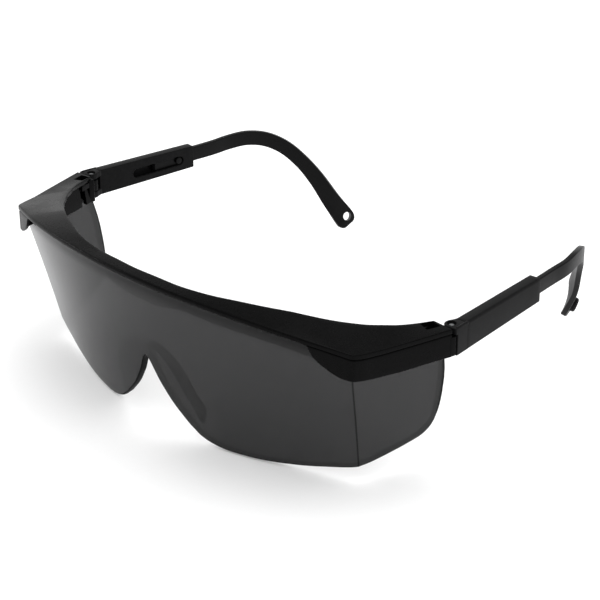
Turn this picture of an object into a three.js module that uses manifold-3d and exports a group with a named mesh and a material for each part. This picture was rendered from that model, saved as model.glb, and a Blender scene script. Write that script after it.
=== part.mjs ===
// Wraparound safety glasses: brow frame, one-piece lens, two hinged temple sleeves,
// two sliding temple tips and two hinge pins. Millimetres, +Z up.
// The front faces -Y, the temples run towards +Y, and +X is the wearer's left.
// Shapes are laid out in a working frame whose y = 0, z = 0 is at the rear upper corner of the
// frame arms. The group then moves the origin to the middle of the footprint, level with the
// lowest point of the lens. One-sided shapes are drawn on the left and mirrored.

import * as THREE from 'three';
import { mergeVertices } from 'three/addons/utils/BufferGeometryUtils.js';
import Module from 'manifold-3d';

const wasm = await Module();
wasm.setup();

const { lerp, clamp, smoothstep, degToRad } = THREE.MathUtils;

// ---------------------------------------------------------------- shared dimensions
const ORIGIN_Y = 23.143;        // working y of the part's origin
const ORIGIN_Z = -44.5;         // working z of the part's origin (lowest lens edge)

// brow front edge and brow top: a + b u + c u^2, u = (x / BROW_SPAN)^2
const BROW_SPAN = 70;
const BROW_Y = [-47.43, 15.18, 1.76];
const BROW_Z = [6.68, -4.41, -1.88];
const BROW_TOP_MAX_X = 72;      // the top height stays constant beyond this

const LENS_T = 2.0;             // lens thickness
const GAP = 0.3;                // running gap between separate pieces

const HINGE_X = 74.6;           // hinge pin axis
const HINGE_Y = 1.8;
const TOE = degToRad(6.29);     // each temple leans inwards
const PIN_R = 0.80;
const PIN_BORE_R = PIN_R + 0.05;
const PIN_HEAD_R = 1.15;
const BORE_Z = [-12, 4];        // bore cutter, clear of both ends of the hinge

// channel in the sleeve for the bar of the tip, in hinge coordinates; open at the rear
const CHANNEL = { x: [0.33, 2.43], front: 14.6, z: [-6.65, -1.6] };
// slot through the sleeve's inner wall; y gives its two ends
const SLOT = { y: [15.5, 35.2], z: -4.6, r: 1.5 };

// ---------------------------------------------------------------- helpers
const mean = ([a, b]) => (a + b) / 2;
const spanSquared = (x) => (x / BROW_SPAN) ** 2;

function browPoly([a, b, c], x) {
  const u = spanSquared(x);
  return a + b * u + c * u * u;
}

const browTop = (x) => browPoly(BROW_Z, Math.min(Math.abs(x), BROW_TOP_MAX_X));

// linear interpolation in rows of [x, value], held constant past both ends
function table(rows, x) {
  if (x <= rows[0][0]) return rows[0][1];
  for (let i = 1; i < rows.length; i++) {
    const [x0, value0] = rows[i - 1];
    const [x1, value1] = rows[i];
    if (x <= x1) return lerp(value0, value1, (x - x0) / (x1 - x0));
  }
  return rows[rows.length - 1][1];
}

// positions and index only, with the seams welded
const bare = (shape) => mergeVertices(shape.deleteAttribute('normal').deleteAttribute('uv'), 1e-4);

// flips every triangle if the shape is inside out
function outward(shape) {
  const position = shape.getAttribute('position');
  const index = shape.index.array;
  const [a, b, c] = [new THREE.Vector3(), new THREE.Vector3(), new THREE.Vector3()];
  let volume = 0;
  for (let i = 0; i < index.length; i += 3) {
    a.fromBufferAttribute(position, index[i]);
    b.fromBufferAttribute(position, index[i + 1]);
    c.fromBufferAttribute(position, index[i + 2]);
    volume += a.dot(b.cross(c));
  }
  if (volume < 0) {
    for (let i = 0; i < index.length; i += 3) {
      [index[i], index[i + 1]] = [index[i + 1], index[i]];
    }
  }
  return shape;
}

// moves each vertex to move(x, y, z)
function reshape(shape, move) {
  const position = shape.getAttribute('position');
  for (let i = 0; i < position.count; i++) {
    position.setXYZ(i, ...move(position.getX(i), position.getY(i), position.getZ(i)));
  }
  return outward(shape);
}

// a box grid bent into shape: toPoint maps (u, v, w) in 0..1 to a point
function warp(uSteps, vSteps, wSteps, toPoint) {
  const box = new THREE.BoxGeometry(1, 1, 1, uSteps, vSteps, wSteps).translate(0.5, 0.5, 0.5);
  return reshape(bare(box), toPoint);
}

function mirrored(shape) {
  const copy = reshape(shape.clone(), (x, y, z) => [-x, y, z]);
  copy.computeVertexNormals();
  return copy;
}

// each range is [low, high]
const block = (xRange, yRange, zRange) => warp(1, 1, 1, (u, v, w) => [
  lerp(...xRange, u), lerp(...yRange, v), lerp(...zRange, w),
]);

// upright cylinder
function post(x, y, [z0, z1], radius) {
  const cylinder = bare(new THREE.CylinderGeometry(radius, radius, z1 - z0, 24));
  return outward(cylinder.rotateX(Math.PI / 2).translate(x, y, (z0 + z1) / 2));
}

// (x, y) outline raised from z = 0 to z = depth
function prism(points, depth) {
  const outline = new THREE.Shape(points.map(([x, y]) => new THREE.Vector2(x, y)));
  return outward(bare(new THREE.ExtrudeGeometry(outline, { depth, bevelEnabled: false })));
}

// hinge coordinates (origin on the pin axis, +y along the temple) -> working frame
const fromHinge = (shape) => shape.rotateZ(TOE).translate(HINGE_X, HINGE_Y, 0);

function solid(shape) {
  return new wasm.Manifold(new wasm.Mesh({
    numProp: 3,
    vertProperties: new Float32Array(shape.getAttribute('position').array),
    triVerts: new Uint32Array(shape.index.array),
  }));
}

function toGeometry(manifold) {
  const mesh = manifold.getMesh();
  const raw = new THREE.BufferGeometry();
  raw.setAttribute('position', new THREE.BufferAttribute(new Float32Array(mesh.vertProperties), 3));
  raw.setIndex(new THREE.BufferAttribute(new Uint32Array(mesh.triVerts), 1));
  // weld points that fall together and drop the slivers that collapse
  const welded = mergeVertices(raw, 0.02);
  const index = welded.index.array;
  const kept = [];
  for (let i = 0; i < index.length; i += 3) {
    const [a, b, c] = [index[i], index[i + 1], index[i + 2]];
    if (a !== b && b !== c && a !== c) kept.push(a, b, c);
  }
  welded.setIndex(kept);
  welded.computeVertexNormals();
  return welded;
}

// ---------------------------------------------------------------- plan curves of the frame
// [x, y] from the middle of the brow, round the corner and back along the left arm
const OUTER = [
  [0, -47.43], [8, -47.23], [16, -46.64], [24, -45.62], [32, -44.18], [40, -42.29],
  [48, -39.9], [55.5, -37.2], [62, -34.4], [66.5, -32.3], [69.3, -30.8], [70.4, -28.6],
  [71.8, -23.4], [73.6, -16.8], [75.6, -9.2], [77.6, -1.4],
];
const INNER = [
  [0, -43.3], [8, -42.9], [16, -42.3], [22.4, -41.2], [28.2, -39.6], [34.2, -37.0],
  [40.8, -33.9], [47, -30.3], [52.5, -26.4], [56.5, -23.1], [59.8, -19.9], [62.2, -17.4],
  [64.4, -14.4], [66.5, -11.5], [68.6, -7.2], [70.9, -1.4],
];
const ARM_LENGTH = 30;          // the arms start this far in front of y = 0
const ARM_REAR_TOP = 0.25;

// curve from the right arm to the left arm
function planCurve(rows) {
  const right = rows.slice(1).reverse().map(([x, y]) => new THREE.Vector3(-x, y, 0));
  const left = rows.map(([x, y]) => new THREE.Vector3(x, y, 0));
  return new THREE.CatmullRomCurve3([...right, ...left], false, 'centripetal');
}
const outerCurve = planCurve(OUTER);
const innerCurve = planCurve(INNER);

// top height of brow and arms
const frameTop = (x, y) =>
  lerp(browTop(x), ARM_REAR_TOP, clamp((y + ARM_LENGTH) / ARM_LENGTH, 0, 1));

// ---------------------------------------------------------------- lens surface
const LENS_OFFSET = 0.955;      // lens face behind the brow front edge
const LENS_TOP_DROP = 1.75;     // lens top edge below the frame top
// rearward slope per drop s below the brow top; u as for the brow
const LENS_SLOPE = { s: 0.2054, ss: -0.0007, us: 0.2230, uus: -0.1249 };
const SHIELD_SPLAY = 0.26231;   // side shield: x gained per y
const FOLD = { x: 66.84, z: -9.74, slope: 0.1164 };   // line where front meets side shield
// [z, y] of the rear edge of the side shield
const SHIELD_REAR = [
  [-40, 1.66], [-21.6, 1.66], [-17, 1.41], [-13.6, 0.95], [-10.6, 0.3], [-8.5, -0.2], [0, -0.2],
];
// [x, z] of the lower edge of the front, from the middle of the nose opening
const FRONT_BOTTOM = [
  [0, -21.2], [0.5, -21.5], [1.4, -22.6], [2.8, -25.5], [4.2, -28.3], [5.7, -30.6],
  [7.2, -32.8], [8.8, -34.8], [10.3, -36.4], [11.9, -38], [13.4, -39.5], [15, -40.8],
  [16.6, -42.1], [18.2, -42.9], [19.8, -43.5], [23, -44.2], [26.2, -44.5], [29.3, -44.5],
  [32.4, -44.5], [35.4, -44.4], [38.3, -44.2], [41.3, -43.9], [44.2, -43.5], [47, -43.1],
  [49.8, -42.6], [52.7, -42], [55.4, -41.4], [58.2, -40.8], [61, -40.1], [63.4, -39.3],
];
// [y, z] of the lower edge of the side shield
const SHIELD_BOTTOM = [
  [-21.44, -39.27], [-18.1, -38.98], [-16, -38.6], [-13.9, -38.15], [-11.5, -37.55],
  [-9.1, -36.94], [-6.7, -36.23], [-4.3, -35.47], [-3.1, -34.98], [-2, -34.31],
  [-0.9, -33.28], [0.1, -31.9], [0.9, -29.4], [1.47, -25.67], [1.66, -21.6],
];
// Grid columns of the left half. A column runs -2..2 across the lens: up to 1 either side
// is the front, beyond that the side shields.
const COLUMNS = [
  0, 0.012, 0.035, 0.065, 0.1, 0.14, 0.18, 0.22, 0.26, 0.30, 0.36, 0.44, 0.54, 0.64, 0.74,
  0.84, 0.93, 0.98, 1.0, 1.02, 1.12, 1.26, 1.42, 1.58, 1.72, 1.82, 1.90, 1.96, 2.0,
];

function lensY(x, z) {
  const u = spanSquared(x);
  const s = browTop(x) - z;
  return browPoly(BROW_Y, x) + LENS_OFFSET + LENS_SLOPE.s * s + LENS_SLOPE.ss * s * s
    + LENS_SLOPE.us * u * s + LENS_SLOPE.uus * u * u * s;
}

function lensPoint(column, z) {
  const foldX = FOLD.x + FOLD.slope * (z - FOLD.z);
  const across = Math.abs(column);
  if (across <= 1) {
    const x = foldX * column;
    return new THREE.Vector3(x, lensY(x, z), z);
  }
  const foldY = lensY(foldX, z);
  const y = lerp(foldY, table(SHIELD_REAR, z), across - 1);
  return new THREE.Vector3(Math.sign(column) * (foldX + SHIELD_SPLAY * (y - foldY)), y, z);
}

// the edge height depends on where the column is at that height, so it is iterated
function lensBottom(column) {
  let z = -38;
  for (let i = 0; i < 12; i++) {
    const point = lensPoint(column, z);
    const edge = Math.abs(column) <= 1
      ? table(FRONT_BOTTOM, Math.abs(point.x))
      : table(SHIELD_BOTTOM, point.y);
    z = lerp(z, edge, 0.8);
  }
  return z;
}

function lensTop(column) {
  const point = lensPoint(column, 0);
  return frameTop(point.x, point.y) - LENS_TOP_DROP;
}

// direction into the glasses, in plan only, so that offset edges stay level
function planInward(column, z) {
  const step = 0.012;
  const along = lensPoint(column + step, z).sub(lensPoint(column - step, z));
  const up = lensPoint(column, z + 0.5).sub(lensPoint(column, z - 0.5));
  const normal = up.cross(along);
  return new THREE.Vector2(normal.x, normal.y).normalize();
}

// sheet between two inward offsets of the lens face
function shell({ lastColumn, offsets, rows, top, bottom }) {
  const columns = COLUMNS.filter((column) => column <= lastColumn);
  const last = columns.length - 1;
  return warp(2 * last, 1, rows, (u, v, w) => {
    const i = Math.round(u * 2 * last) - last;
    const column = Math.sign(i) * columns[Math.abs(i)];
    const z = lerp(bottom(column), top(column), w);
    const point = lensPoint(column, z);
    const inward = planInward(column, z);
    const offset = lerp(...offsets, v);
    return [point.x + inward.x * offset, point.y + inward.y * offset, z];
  });
}

// ---------------------------------------------------------------- lens
// [x, z] of the nose saddle, from its right foot to the top of the opening
const SADDLE = [
  [-15.0, -40.2], [-13.4, -37.6], [-10.9, -33.6], [-8.4, -29.2], [-6.0, -25.2], [-3.2, -21.6],
  [0, -19.6],
];
const SADDLE_T = 1.7;
const SADDLE_DEPTH = 5.2;       // front to back
const SADDLE_FLARE = 2.2;       // widening away from the opening over that depth
const SADDLE_EMBED = 1.0;       // start of the rib behind the lens face

// rib on the inside that flares back and outwards along the nose opening
function noseSaddle() {
  const path = [...SADDLE, ...SADDLE.slice(0, -1).reverse().map(([x, z]) => [-x, z])];
  const last = path.length - 1;
  return warp(last, 1, 1, (u, v, w) => {
    const i = Math.round(u * last);
    const before = path[Math.max(i - 1, 0)];
    const after = path[Math.min(i + 1, last)];
    const [x, z] = path[i];
    const tangent = new THREE.Vector2(after[0] - before[0], after[1] - before[1]).normalize();
    const away = w * SADDLE_FLARE + (v - 0.5) * SADDLE_T;
    return [
      x - tangent.y * away,
      lensY(x, z) + SADDLE_EMBED + w * SADDLE_DEPTH,
      z + tangent.x * away,
    ];
  });
}

// one moulding with side shields and nose saddle
function makeLens() {
  let lens = solid(shell({
    lastColumn: 2, offsets: [0, LENS_T], rows: 8, top: lensTop, bottom: lensBottom,
  }));
  // the shields stop in front of the hinge blocks
  for (const xRange of [[60, 90], [-90, -60]]) {
    lens = lens.subtract(solid(block(xRange, [-3.3, 10], [-8.3, 8])));
  }
  return toGeometry(lens.add(solid(noseSaddle())));
}

// ---------------------------------------------------------------- brow frame
const LEDGE_T = 1.4;
// [|x|, height added to the inner edge of the ledge]
const LEDGE_LIFT = [[16, 0], [30, 0.5], [45, 0.85], [66, 0.85], [68.6, 0.6], [70.9, 0.3]];
const RIM_T = 1.6;              // frame rim behind the lens
const RIM_RISE = 0.9;           // rim top above the lens top
// [|x|, z] of the rim's lower edge
const RIM_LOW = [
  [0, -3.4], [8, -3.2], [13, -1.9], [17, -1.35], [22, -1.6], [27, -2.1], [38, -2.6],
  [47, -3.5], [55, -4.7], [62, -6.3], [66, -7.4], [80, -7.7],
];
const ARM_LOW = -7.9;           // lower edge of the frame arm
const CAP_START = 7.26;         // where the corner cap starts, counted in OUTER points
// [x, z] of the lower edge of corner cap and arm wall
const CAP_LOW = [
  [57.2, 2.7], [57.6, 1.9], [58.6, 0.1], [59.8, -2.2], [61.6, -3.8], [64.1, -5.5],
  [66.5, -6.8], [68.9, -7.2], [69.7, -7.4], [70.4, -7.6], [71.5, -7.85], [73.5, -8.1],
  [76, ARM_LOW],
];
// wall thickness grows by `growth` over `length`, starting at y = `from`
const CAP_WALL = { base: 0.95, growth: 0.65, from: -31, length: 6 };
const CAP_INSET = 0.02;         // cap top below the frame top
const KNUCKLE_R = 2.0;
const KNUCKLE_Z = [-5.75, -2.2];
const KNUCKLE_FRONT = -1.0;
const HINGE_BLOCK = { x: [70.0, 76.6], y: [-2.95, -0.65], z: [-7.7, -0.4] };
// [x, y] outline outboard of the hinge block
const SKIRT = [[76.0, -1.8], [77.5, -1.8], [77.95, -0.02], [76.4, -0.02]];
const SKIRT_HEIGHT = 5.7;
// [x, y] outline of the ledge window
const WINDOW = [[69.9, -5.6], [73.2, -6.5], [74.3, -2.3], [70.9, -1.9]];

function ledge() {
  return warp(60, 1, 1, (u, v, w) => {
    const outer = outerCurve.getPoint(u);
    const inner = innerCurve.getPoint(u);
    const innerTop = frameTop(inner.x, inner.y) + table(LEDGE_LIFT, Math.abs(inner.x));
    return [
      lerp(outer.x, inner.x, v),
      lerp(outer.y, inner.y, v),
      lerp(frameTop(outer.x, outer.y), innerTop, v) - (1 - w) * LEDGE_T,
    ];
  });
}

function rim() {
  const face = LENS_T + GAP;
  return shell({
    lastColumn: 1.90,
    offsets: [face, face + RIM_T],
    rows: 2,
    top: (column) => lensTop(column) + RIM_RISE,
    bottom: (column) => table(RIM_LOW, Math.abs(lensPoint(column, -4).x)),
  });
}

// corner cap and outer wall of the left arm
function cornerCap() {
  const start = 0.5 + 0.5 * CAP_START / (OUTER.length - 1);
  return warp(30, 1, 2, (u, v, w) => {
    const t = lerp(start, 1, u);
    const { x, y } = outerCurve.getPoint(t);
    const tangent = outerCurve.getTangent(t);
    const grown = clamp((y - CAP_WALL.from) / CAP_WALL.length, 0, 1);
    const depth = (CAP_WALL.base + CAP_WALL.growth * grown) * v;
    return [
      x - tangent.y * depth,
      y + tangent.x * depth,
      lerp(table(CAP_LOW, x), frameTop(x, y) - CAP_INSET, w),
    ];
  });
}

// hinge block, knuckle and the short outer skirt beside the hinge
function frameHinge() {
  const [right, left] = [HINGE_X - KNUCKLE_R, HINGE_X + KNUCKLE_R];
  const knuckleRoot = prism(
    [[right, KNUCKLE_FRONT], [left, KNUCKLE_FRONT], [left, HINGE_Y], [right, HINGE_Y]],
    KNUCKLE_Z[1] - KNUCKLE_Z[0],
  ).translate(0, 0, KNUCKLE_Z[0]);
  return toGeometry(solid(block(HINGE_BLOCK.x, HINGE_BLOCK.y, HINGE_BLOCK.z))
    .add(solid(knuckleRoot))
    .add(solid(post(HINGE_X, HINGE_Y, KNUCKLE_Z, KNUCKLE_R)))
    .add(solid(prism(SKIRT, SKIRT_HEIGHT).translate(0, 0, ARM_LOW))));
}

function makeFrame() {
  const cap = cornerCap();
  const hinge = frameHinge();
  let frame = solid(ledge());
  for (const part of [rim(), cap, mirrored(cap), hinge, mirrored(hinge)]) {
    frame = frame.add(solid(part));
  }
  const cuts = [
    post(HINGE_X, HINGE_Y, BORE_Z, PIN_BORE_R),
    // window in the ledge above the rear of the side shield, and the slot below it in the rim
    prism(WINDOW, 6).translate(0, 0, -2.2),
    block([68.5, 72.6], [-7.0, -4.7], [-9, -1.9]),
    // seam for the upper hinge ear of the temple
    block([72.2, 80], [-1.05, 2], [-1.95, 4]),
  ];
  for (const cut of [...cuts, ...cuts.map(mirrored)]) frame = frame.subtract(solid(cut));
  return toGeometry(frame);
}

// ---------------------------------------------------------------- temple sleeve
// All in hinge coordinates.
const SLEEVE_X = [-0.15, 3.2];  // inner and outer face
const SLEEVE_Y = [2.75, 39.2];  // front and rear of the tube
const SLEEVE_TOP = [-0.05, -1.1];   // top height at y = 0 and at the rear
const SLEEVE_BOTTOM = [-7.8, -7.65];
const SLEEVE_CHAMFER = 0.45;
const WALL_INNER = 2.35;        // inner face of the wall beside the hinge
const WALL_Y = [-1.62, 3.4];    // that wall, front to rear
const UPPER_EAR_T = 1.85;
const LOWER_EAR_T = 1.75;
const COUNTERBORE = { bottom: -0.62, clearance: 0.2 };
// [x, y] outlines of the hinge ears: each has its own front and shares the rear
const UPPER_EAR = [[SLEEVE_X[1], -2.35], [0.2, -2.35], [-0.9, -2.0], [-1.65, -1.2], [-1.9, -0.2]];
const LOWER_EAR = [
  [SLEEVE_X[1], WALL_Y[0]], [1.2, WALL_Y[0]], [0.3, -1.97], [-0.8, -1.83], [-1.6, -1.2],
  [-1.98, -0.2],
];
const EAR_REAR = [
  [-1.75, 0.9], [-1.0, 2.2], [SLEEVE_X[0], WALL_Y[1]], [SLEEVE_X[1], WALL_Y[1]],
];

// chamfered tube body, tapering in height towards the rear
function sleeveBody() {
  const c = SLEEVE_CHAMFER;
  const unitOutline = [
    [c, 0], [1 - c, 0], [1, c], [1, 1 - c], [1 - c, 1], [c, 1], [0, 1 - c], [0, c],
  ];
  // stretches the unit outline between its chamfers, which keep their size
  const stretch = (value, low, high) => (value < 0.5 ? low + value : high - (1 - value));
  return reshape(prism(unitOutline, SLEEVE_Y[1] - SLEEVE_Y[0]), (across, up, along) => {
    const y = SLEEVE_Y[0] + along;
    const t = y / SLEEVE_Y[1];
    return [
      stretch(across, ...SLEEVE_X),
      y,
      stretch(up, lerp(...SLEEVE_BOTTOM, t), lerp(...SLEEVE_TOP, t)),
    ];
  });
}

// round-ended slot, drawn in (y, z) and pushed through the inner wall along x
function slotCutter() {
  const steps = 10;
  const outline = [];
  const ends = [[SLOT.y[1] - SLOT.r, -Math.PI / 2], [SLOT.y[0] + SLOT.r, Math.PI / 2]];
  for (const [centreY, startAngle] of ends) {
    for (let i = 0; i <= steps; i++) {
      const angle = startAngle + Math.PI * i / steps;
      outline.push([centreY + SLOT.r * Math.cos(angle), SLOT.z + SLOT.r * Math.sin(angle)]);
    }
  }
  return reshape(prism(outline, 2), (y, z, x) => [x - 1.2, y, z]);
}

function makeSleeve() {
  const upperEar = prism([...UPPER_EAR, ...EAR_REAR], UPPER_EAR_T);
  const lowerEar = prism([...LOWER_EAR, ...EAR_REAR], LOWER_EAR_T);
  const parts = [
    block([WALL_INNER, SLEEVE_X[1]], WALL_Y, [SLEEVE_BOTTOM[0], SLEEVE_TOP[0]]),
    upperEar.translate(0, 0, SLEEVE_TOP[0] - UPPER_EAR_T),
    lowerEar.translate(0, 0, SLEEVE_BOTTOM[0]),
  ];
  const cuts = [
    post(0, 0, BORE_Z, PIN_BORE_R),
    post(0, 0, [COUNTERBORE.bottom, BORE_Z[1]], PIN_HEAD_R + COUNTERBORE.clearance),
    block(CHANNEL.x, [CHANNEL.front, SLEEVE_Y[1] + 5], CHANNEL.z),
    slotCutter(),
  ];
  let sleeve = solid(sleeveBody());
  for (const part of parts) sleeve = sleeve.add(solid(part));
  for (const cut of cuts) sleeve = sleeve.subtract(solid(cut));
  return fromHinge(toGeometry(sleeve));
}

// ---------------------------------------------------------------- temple tip
const BAR_Y = [24, 32, 40, 48.4];   // stations of the straight bar, in hinge coordinates
const BAR_CLEARANCE = 0.25;     // above and below the bar in its channel
const BAR_HALF_HEIGHT = (CHANNEL.z[1] - CHANNEL.z[0]) / 2 - BAR_CLEARANCE;
const TIP_HALF_T = 0.85;
// [x, y, z, half height] of the ear hook and paddle, in the working frame
const HOOK = [
  [70.15, 57.0, -3.95, 2.4], [68.45, 63.5, -3.9, 2.4], [65.75, 69.6, -5.3, 2.4],
  [62.3, 75.0, -8.7, 2.4], [58.6, 79.6, -14.2, 2.45], [55.2, 83.3, -20.6, 2.7],
  [51.4, 86.6, -28.4, 3.1], [48.1, 89.9, -35.3, 3.45], [47.2, 91.0, -37.7, 2.3],
];
const PADDLE_TURN = { angle: degToRad(28), from: 0.80, to: 0.93 };   // along the tip, 0..1
const CORNER_SCALE = { thickness: 0.82, height: 0.95 };   // pulls the section's corners in
const STUD = { x: 0.42, y: 33.55, r: 1.15, length: 1.6 };   // in hinge coordinates
const CORD_HOLE = {
  centre: [47.95, 90.7, -34.7], axis: [0.899, 0.349, -0.263], r: 1.45, length: 12,
};

// the bar runs along the middle of the channel
function barStation(y) {
  const x = mean(CHANNEL.x);
  const [sin, cos] = [Math.sin(TOE), Math.cos(TOE)];
  return [
    HINGE_X + x * cos - y * sin, HINGE_Y + x * sin + y * cos, mean(CHANNEL.z), BAR_HALF_HEIGHT,
  ];
}

function tipBody() {
  const stations = [...BAR_Y.map(barStation), ...HOOK];
  const centres = stations.map(([x, y, z]) => new THREE.Vector3(x, y, z));
  const curve = new THREE.CatmullRomCurve3(centres, false, 'centripetal');
  const spans = stations.length - 1;
  return warp(36, 2, 2, (u, v, w) => {
    const tangent = curve.getTangent(u);
    const across = tangent.clone().cross(new THREE.Vector3(0, 0, 1)).normalize();
    const up = across.clone().cross(tangent).normalize();
    // the paddle turns its outer face forwards
    const turn = PADDLE_TURN.angle * smoothstep(u, PADDLE_TURN.from, PADDLE_TURN.to);
    across.applyAxisAngle(tangent, turn);
    up.applyAxisAngle(tangent, turn);
    const i = Math.min(Math.floor(u * spans), spans - 1);
    const halfHeight = lerp(stations[i][3], stations[i + 1][3], u * spans - i);
    const acrossBy = (v - 0.5) * 2 * TIP_HALF_T * (w === 0.5 ? 1 : CORNER_SCALE.thickness);
    const upBy = (w - 0.5) * 2 * halfHeight * (v === 0.5 ? 1 : CORNER_SCALE.height);
    return curve.getPoint(u)
      .addScaledVector(across, acrossBy)
      .addScaledVector(up, upBy)
      .toArray();
  });
}

// detent stud on the inner face of the bar
function detentStud() {
  const stud = bare(new THREE.CylinderGeometry(STUD.r, STUD.r, STUD.length, 20));
  return fromHinge(outward(stud.rotateZ(Math.PI / 2).translate(STUD.x, STUD.y, SLOT.z)));
}

function cordHole() {
  const { centre, axis, r, length } = CORD_HOLE;
  const turn = new THREE.Quaternion().setFromUnitVectors(
    new THREE.Vector3(0, 1, 0), new THREE.Vector3(...axis).normalize());
  const hole = bare(new THREE.CylinderGeometry(r, r, length, 20));
  return outward(hole.applyQuaternion(turn).translate(...centre));
}

const makeTip = () => toGeometry(
  solid(tipBody()).add(solid(detentStud())).subtract(solid(cordHole())));

// ---------------------------------------------------------------- hinge pin with a flat head
const PIN_Z = [-7.75, -0.12];
const PIN_HEAD_T = 0.45;
const PIN_CHAMFER = { radial: 0.15, height: 0.12 };

function makePin() {
  const [bottom, top] = PIN_Z;
  // [radius, height]
  const profile = [
    [0, bottom],
    [PIN_R, bottom],
    [PIN_R, top - PIN_HEAD_T],
    [PIN_HEAD_R, top - PIN_HEAD_T],
    [PIN_HEAD_R, top - PIN_CHAMFER.height],
    [PIN_HEAD_R - PIN_CHAMFER.radial, top],
    [0, top],
  ].map(([radius, height]) => new THREE.Vector2(radius, height));
  const pin = bare(new THREE.LatheGeometry(profile, 24));
  return outward(pin.rotateX(Math.PI / 2).translate(HINGE_X, HINGE_Y, 0));
}

// ---------------------------------------------------------------- assembly
const NYLON = { color: 0x0c0c0d, roughness: 0.32, metalness: 0 };
const SMOKED = { color: 0x2a2b2d, roughness: 0.08, metalness: 0, transparent: true, opacity: 0.7 };
const METAL = { color: 0x8d9095, roughness: 0.35, metalness: 1 };

const group = new THREE.Group();
group.position.set(0, -ORIGIN_Y, -ORIGIN_Z);

function place(name, shape, look) {
  const mesh = new THREE.Mesh(shape, new THREE.MeshStandardMaterial(look));
  mesh.name = name;
  group.add(mesh);
}

function placePair(name, shape, look) {
  place(`${name}_left`, shape, look);
  place(`${name}_right`, mirrored(shape), look);
}

place('brow_frame', makeFrame(), NYLON);
place('lens', makeLens(), SMOKED);
placePair('temple_sleeve', makeSleeve(), NYLON);
placePair('temple_tip', makeTip(), NYLON);
placePair('hinge_pin', makePin(), METAL);

export default group;
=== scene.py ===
# Safety glasses: every visible piece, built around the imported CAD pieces.
# Shapes are laid out in millimetres: +x points to the wearer's left, -y forwards and +z up, with
# y and z zero at the rear upper corner of the brow's arms. The side pieces are built on the left
# (+x) and mirrored.
import math
from contextlib import contextmanager

import bmesh
import bpy
from mathutils import Matrix, Vector
from mathutils.kdtree import KDTree


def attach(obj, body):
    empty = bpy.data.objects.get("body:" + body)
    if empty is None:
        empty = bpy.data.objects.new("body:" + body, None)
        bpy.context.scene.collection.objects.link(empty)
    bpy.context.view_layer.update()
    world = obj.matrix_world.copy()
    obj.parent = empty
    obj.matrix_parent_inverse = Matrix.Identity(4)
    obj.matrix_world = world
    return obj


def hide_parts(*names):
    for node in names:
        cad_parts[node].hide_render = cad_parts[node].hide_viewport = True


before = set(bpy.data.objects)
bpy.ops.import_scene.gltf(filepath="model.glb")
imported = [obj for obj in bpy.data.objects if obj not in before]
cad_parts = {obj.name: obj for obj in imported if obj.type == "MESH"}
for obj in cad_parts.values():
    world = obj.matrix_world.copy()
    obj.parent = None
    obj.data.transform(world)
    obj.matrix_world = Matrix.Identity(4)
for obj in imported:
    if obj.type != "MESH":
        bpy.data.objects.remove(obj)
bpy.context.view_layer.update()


MM = 0.001
# From the working frame to the row frame, in millimetres.
ROW_Y, ROW_Z = -23.143, 44.5


def to_row(point):
    return Vector((point[0] * MM, (point[1] + ROW_Y) * MM, (point[2] + ROW_Z) * MM))


# ------------------------------------------------------------------ small maths
def lerp(start, end, share):
    return start + (end - start) * share


def clamp(value):
    return max(0.0, min(1.0, value))


def smooth(value):
    value = clamp(value)
    return value * value * (3 - 2 * value)


def look_up(rows, x):
    """Linear reading of a table of (x, value) rows, held constant beyond its ends."""
    if x <= rows[0][0]:
        return rows[0][1]
    for (x0, value0), (x1, value1) in zip(rows, rows[1:]):
        if x <= x1:
            return lerp(value0, value1, (x - x0) / (x1 - x0))
    return rows[-1][1]


def quarter(steps):
    """Quarter-round steps as (falling, rising) pairs: falling goes 1 to 0, rising 0 to 1."""
    angles = [math.pi / 2 * i / steps for i in range(steps + 1)]
    return [(1 - math.sin(angle), 1 - math.cos(angle)) for angle in angles]


class Spline:
    """Centripetal Catmull-Rom through points, sampled by a share 0..1 of the point index."""

    def __init__(self, points):
        self.points = [Vector(point) for point in points]

    def at(self, share):
        last = len(self.points) - 1
        position = clamp(share) * last
        i = min(math.floor(position), last - 1)
        w = position - i
        start, end = self.points[i], self.points[i + 1]
        before = self.points[i - 1] if i > 0 else start * 2 - end
        after = self.points[i + 2] if i + 2 <= last else end * 2 - start
        gap0 = max((start - before).length, 1e-6) ** 0.5
        gap1 = max((end - start).length, 1e-6) ** 0.5
        gap2 = max((after - end).length, 1e-6) ** 0.5
        leave = (start - before) / gap0 - (end - before) / (gap0 + gap1) + (end - start) / gap1
        arrive = (end - start) / gap1 - (after - start) / (gap1 + gap2) + (after - end) / gap2
        leave *= gap1
        arrive *= gap1
        w2, w3 = w * w, w * w * w
        return ((2 * w3 - 3 * w2 + 1) * start + (w3 - 2 * w2 + w) * leave
                + (-2 * w3 + 3 * w2) * end + (w3 - w2) * arrive)

    def tangent(self, share):
        step = 1e-3
        return (self.at(min(1, share + step)) - self.at(max(0, share - step))).normalized()


def flat_spline(rows):
    return Spline([(a, b, 0) for a, b in rows])


def sampled(rows, count):
    curve = flat_spline(rows)
    return [(point.x, point.y) for point in (curve.at(i / count) for i in range(count + 1))]


def both_sides(rows):
    """Spline through (x, value) rows that start at x = 0, and their mirror image."""
    return flat_spline([(-x, value) for x, value in reversed(rows[1:])] + rows)


# ------------------------------------------------------------------ objects and meshes
def add_object(name, data):
    ob = bpy.data.objects.new(name, data)
    bpy.context.scene.collection.objects.link(ob)
    return ob


def duplicate(ob):
    copy = ob.copy()
    copy.data = ob.data.copy()
    bpy.context.scene.collection.objects.link(copy)
    return copy


def discard(ob):
    mesh = ob.data
    bpy.data.objects.remove(ob)
    bpy.data.meshes.remove(mesh)


@contextmanager
def editing(mesh):
    bm = bmesh.new()
    bm.from_mesh(mesh)
    yield bm
    bm.to_mesh(mesh)
    bm.free()


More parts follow.
